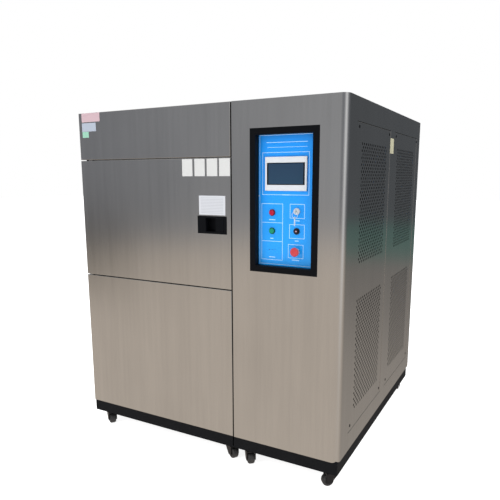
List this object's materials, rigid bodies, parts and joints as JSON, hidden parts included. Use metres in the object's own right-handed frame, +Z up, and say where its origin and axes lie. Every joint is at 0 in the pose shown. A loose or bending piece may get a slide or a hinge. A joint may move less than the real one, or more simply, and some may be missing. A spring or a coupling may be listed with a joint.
{
  "type": "environmental test chamber",
  "caption": "Floor-standing thermal test chamber with a hinged test door, a recessed control panel, perforated side panels and swivelling casters.",
  "frame": {"origin": "middle of the footprint, on the floor under the wheels", "axes": "+X to the right as the user faces the door, +Y to the back, +Z up"},
  "size_m": [1.48, 1.424, 1.737],
  "materials": {
    "stainless": "brushed",
    "inner_steel": "smooth",
    "galvanised": "matt zinc coat",
    "zinc": "dark zinc coat",
    "black_paint": "satin",
    "motor_paint": "satin",
    "fins": "plain",
    "foam": "rigid foam",
    "silicone": "soft",
    "black_plastic": "satin",
    "black_button": "gloss",
    "black_rubber": "satin",
    "white_plastic": "satin",
    "screen": "gloss",
    "blue_fascia": "satin film",
    "red_lens": "gloss",
    "green_lens": "gloss",
    "red_plastic": "gloss",
    "chrome_ring": "polished",
    "key_metal": "plain"
  },
  "bodies": {
    "machine": {"base_rails": "black_paint", "base_decks": "galvanised", "caster_plates": "zinc", "left_side_panel": "stainless", "top_covers": "stainless", "rear_panels": "galvanised", "top_front_panel": "stainless", "lower_front_panel": "stainless", "control_cover": "stainless", "side_framing": "stainless", "front_side_panel": "stainless", "rear_side_panel": "stainless", "partition_wall": "galvanised", "door_pivots": "zinc", "insulation_boards": "foam", "test_liner": "inner_steel", "test_shelf": "inner_steel", "heater": "inner_steel", "evaporator": "fins", "fan_motors": "motor_paint", "compressors": "motor_paint", "condenser": "fins", "control_frame": "black_plastic", "fascia": "blue_fascia", "hmi_housing": "white_plastic", "hmi_screen": "screen", "red_lamp": "red_lens", "green_lamp": "green_lens", "control_collars": "chrome_ring"},
    "door": {"door_shell": "stainless", "door_liner": "inner_steel", "door_insulation": "foam", "door_gasket": "silicone", "latch_housing": "black_plastic"},
    "paddle": {"latch_paddle": "black_plastic"},
    "key": {"key": "key_metal"},
    "key_ring": {"key_ring": "key_metal"},
    "push_button": {"push_button": "black_button"},
    "estop_stem": {"estop_stem": "white_plastic"},
    "estop_head": {"estop_head": "red_plastic"},
    "hot_damper": {"hot_damper": "inner_steel"},
    "cold_damper": {"cold_damper": "inner_steel"},
    "hot_fan": {"hot_fan": "fins"},
    "cold_fan": {"cold_fan": "fins"},
    "fork_front_1": {"caster_fork_front_1": "zinc"},
    "wheel_front_1": {"caster_wheel_front_1": "black_rubber"},
    "fork_front_2": {"caster_fork_front_2": "zinc"},
    "wheel_front_2": {"caster_wheel_front_2": "black_rubber"},
    "fork_front_3": {"caster_fork_front_3": "zinc"},
    "wheel_front_3": {"caster_wheel_front_3": "black_rubber"},
    "fork_front_4": {"caster_fork_front_4": "zinc"},
    "wheel_front_4": {"caster_wheel_front_4": "black_rubber"},
    "fork_rear_1": {"caster_fork_rear_1": "zinc"},
    "wheel_rear_1": {"caster_wheel_rear_1": "black_rubber"},
    "fork_rear_2": {"caster_fork_rear_2": "zinc"},
    "wheel_rear_2": {"caster_wheel_rear_2": "black_rubber"},
    "fork_rear_3": {"caster_fork_rear_3": "zinc"},
    "wheel_rear_3": {"caster_wheel_rear_3": "black_rubber"},
    "fork_rear_4": {"caster_fork_rear_4": "zinc"},
    "wheel_rear_4": {"caster_wheel_rear_4": "black_rubber"}
  },
  "joints": [
    {"name": "door_hinge", "type": "hinge", "parent": "machine", "child": "door", "pos_m": [-0.724, -0.675, 1.186], "axis": [0, 0, -1], "range_deg": [0, 100]},
    {"name": "paddle_pull", "type": "hinge", "parent": "door", "child": "paddle", "pos_m": [0.1497, -0.7052, 1.183], "axis": [0, 0, 1], "range_deg": [0, 35], "stiffness_Nm_per_rad": 0.5},
    {"name": "key_turn", "type": "hinge", "parent": "machine", "child": "key", "pos_m": [0.511, -0.678, 1.257], "axis": [0, 1, 0], "range_deg": [0, 60]},
    {"name": "key_ring_swing", "type": "hinge", "parent": "key", "child": "key_ring", "pos_m": [0.511, -0.702, 1.2554], "axis": [1, 0, 0], "range_deg": [-30, 15]},
    {"name": "button_push", "type": "slide", "parent": "machine", "child": "push_button", "axis": [0, 1, 0], "range_m": [0, 0.004], "stiffness_N_per_m": 800},
    {"name": "estop_push", "type": "slide", "parent": "machine", "child": "estop_stem", "axis": [0, 1, 0], "range_m": [0, 0.005], "stiffness_N_per_m": 1500},
    {"name": "estop_twist", "type": "hinge", "parent": "estop_stem", "child": "estop_head", "pos_m": [0.511, -0.678, 1.08], "axis": [0, 1, 0], "range_deg": [0, 45], "stiffness_Nm_per_rad": 0.5},
    {"name": "hot_damper_turn", "type": "hinge", "parent": "machine", "child": "hot_damper", "pos_m": [-0.274, -0.273, 1.4373], "axis": [1, 0, 0], "range_deg": [0, 90]},
    {"name": "cold_damper_turn", "type": "hinge", "parent": "machine", "child": "cold_damper", "pos_m": [-0.274, -0.273, 0.9347], "axis": [1, 0, 0], "range_deg": [0, 90]},
    {"name": "hot_fan_spin", "type": "hinge", "parent": "machine", "child": "hot_fan", "pos_m": [-0.274, -0.19, 1.5613], "axis": [0, 1, 0], "continuous": true},
    {"name": "cold_fan_spin", "type": "hinge", "parent": "machine", "child": "cold_fan", "pos_m": [-0.274, -0.19, 0.6857], "axis": [0, 1, 0], "continuous": true},
    {"name": "swivel_front_1", "type": "hinge", "parent": "machine", "child": "fork_front_1", "pos_m": [-0.66, -0.663, 0.07], "axis": [0, 0, 1], "continuous": true},
    {"name": "roll_front_1", "type": "hinge", "parent": "fork_front_1", "child": "wheel_front_1", "pos_m": [-0.64034, -0.67677, 0.028], "axis": [0.5736, 0.8192, 0], "continuous": true},
    {"name": "swivel_front_2", "type": "hinge", "parent": "machine", "child": "fork_front_2", "pos_m": [0.156, -0.663, 0.07], "axis": [0, 0, 1], "continuous": true},
    {"name": "roll_front_2", "type": "hinge", "parent": "fork_front_2", "child": "wheel_front_2", "pos_m": [0.17678, -0.675, 0.028], "axis": [0.5, 0.866, 0], "continuous": true},
    {"name": "swivel_front_3", "type": "hinge", "parent": "machine", "child": "fork_front_3", "pos_m": [0.264, -0.663, 0.07], "axis": [0, 0, 1], "continuous": true},
    {"name": "roll_front_3", "type": "hinge", "parent": "fork_front_3", "child": "wheel_front_3", "pos_m": [0.27943, -0.68139, 0.028], "axis": [0.766, 0.6428, 0], "continuous": true},
    {"name": "swivel_front_4", "type": "hinge", "parent": "machine", "child": "fork_front_4", "pos_m": [0.7, -0.663, 0.07], "axis": [0, 0, 1], "continuous": true},
    {"name": "roll_front_4", "type": "hinge", "parent": "fork_front_4", "child": "wheel_front_4", "pos_m": [0.68161, -0.67843, 0.028], "axis": [0.6428, -0.766, 0], "continuous": true},
    {"name": "swivel_rear_1", "type": "hinge", "parent": "machine", "child": "fork_rear_1", "pos_m": [-0.66, 0.627, 0.07], "axis": [0, 0, 1], "continuous": true},
    {"name": "roll_rear_1", "type": "hinge", "parent": "fork_rear_1", "child": "wheel_rear_1", "pos_m": [-0.63682, 0.63321, 0.028], "axis": [-0.2588, 0.9659, 0], "continuous": true},
    {"name": "swivel_rear_2", "type": "hinge", "parent": "machine", "child": "fork_rear_2", "pos_m": [0.146, 0.627, 0.07], "axis": [0, 0, 1], "continuous": true},
    {"name": "roll_rear_2", "type": "hinge", "parent": "fork_rear_2", "child": "wheel_rear_2", "pos_m": [0.12345, 0.63521, 0.028], "axis": [-0.342, -0.9397, 0], "continuous": true},
    {"name": "swivel_rear_3", "type": "hinge", "parent": "machine", "child": "fork_rear_3", "pos_m": [0.264, 0.627, 0.07], "axis": [0, 0, 1], "continuous": true},
    {"name": "roll_rear_3", "type": "hinge", "parent": "fork_rear_3", "child": "wheel_rear_3", "pos_m": [0.25983, 0.65063, 0.028], "axis": [-0.9848, -0.1736, 0], "continuous": true},
    {"name": "swivel_rear_4", "type": "hinge", "parent": "machine", "child": "fork_rear_4", "pos_m": [0.69, 0.627, 0.07], "axis": [0, 0, 1], "continuous": true},
    {"name": "roll_rear_4", "type": "hinge", "parent": "fork_rear_4", "child": "wheel_rear_4", "pos_m": [0.69417, 0.60337, 0.028], "axis": [0.9848, 0.1736, 0], "continuous": true}
  ]
}
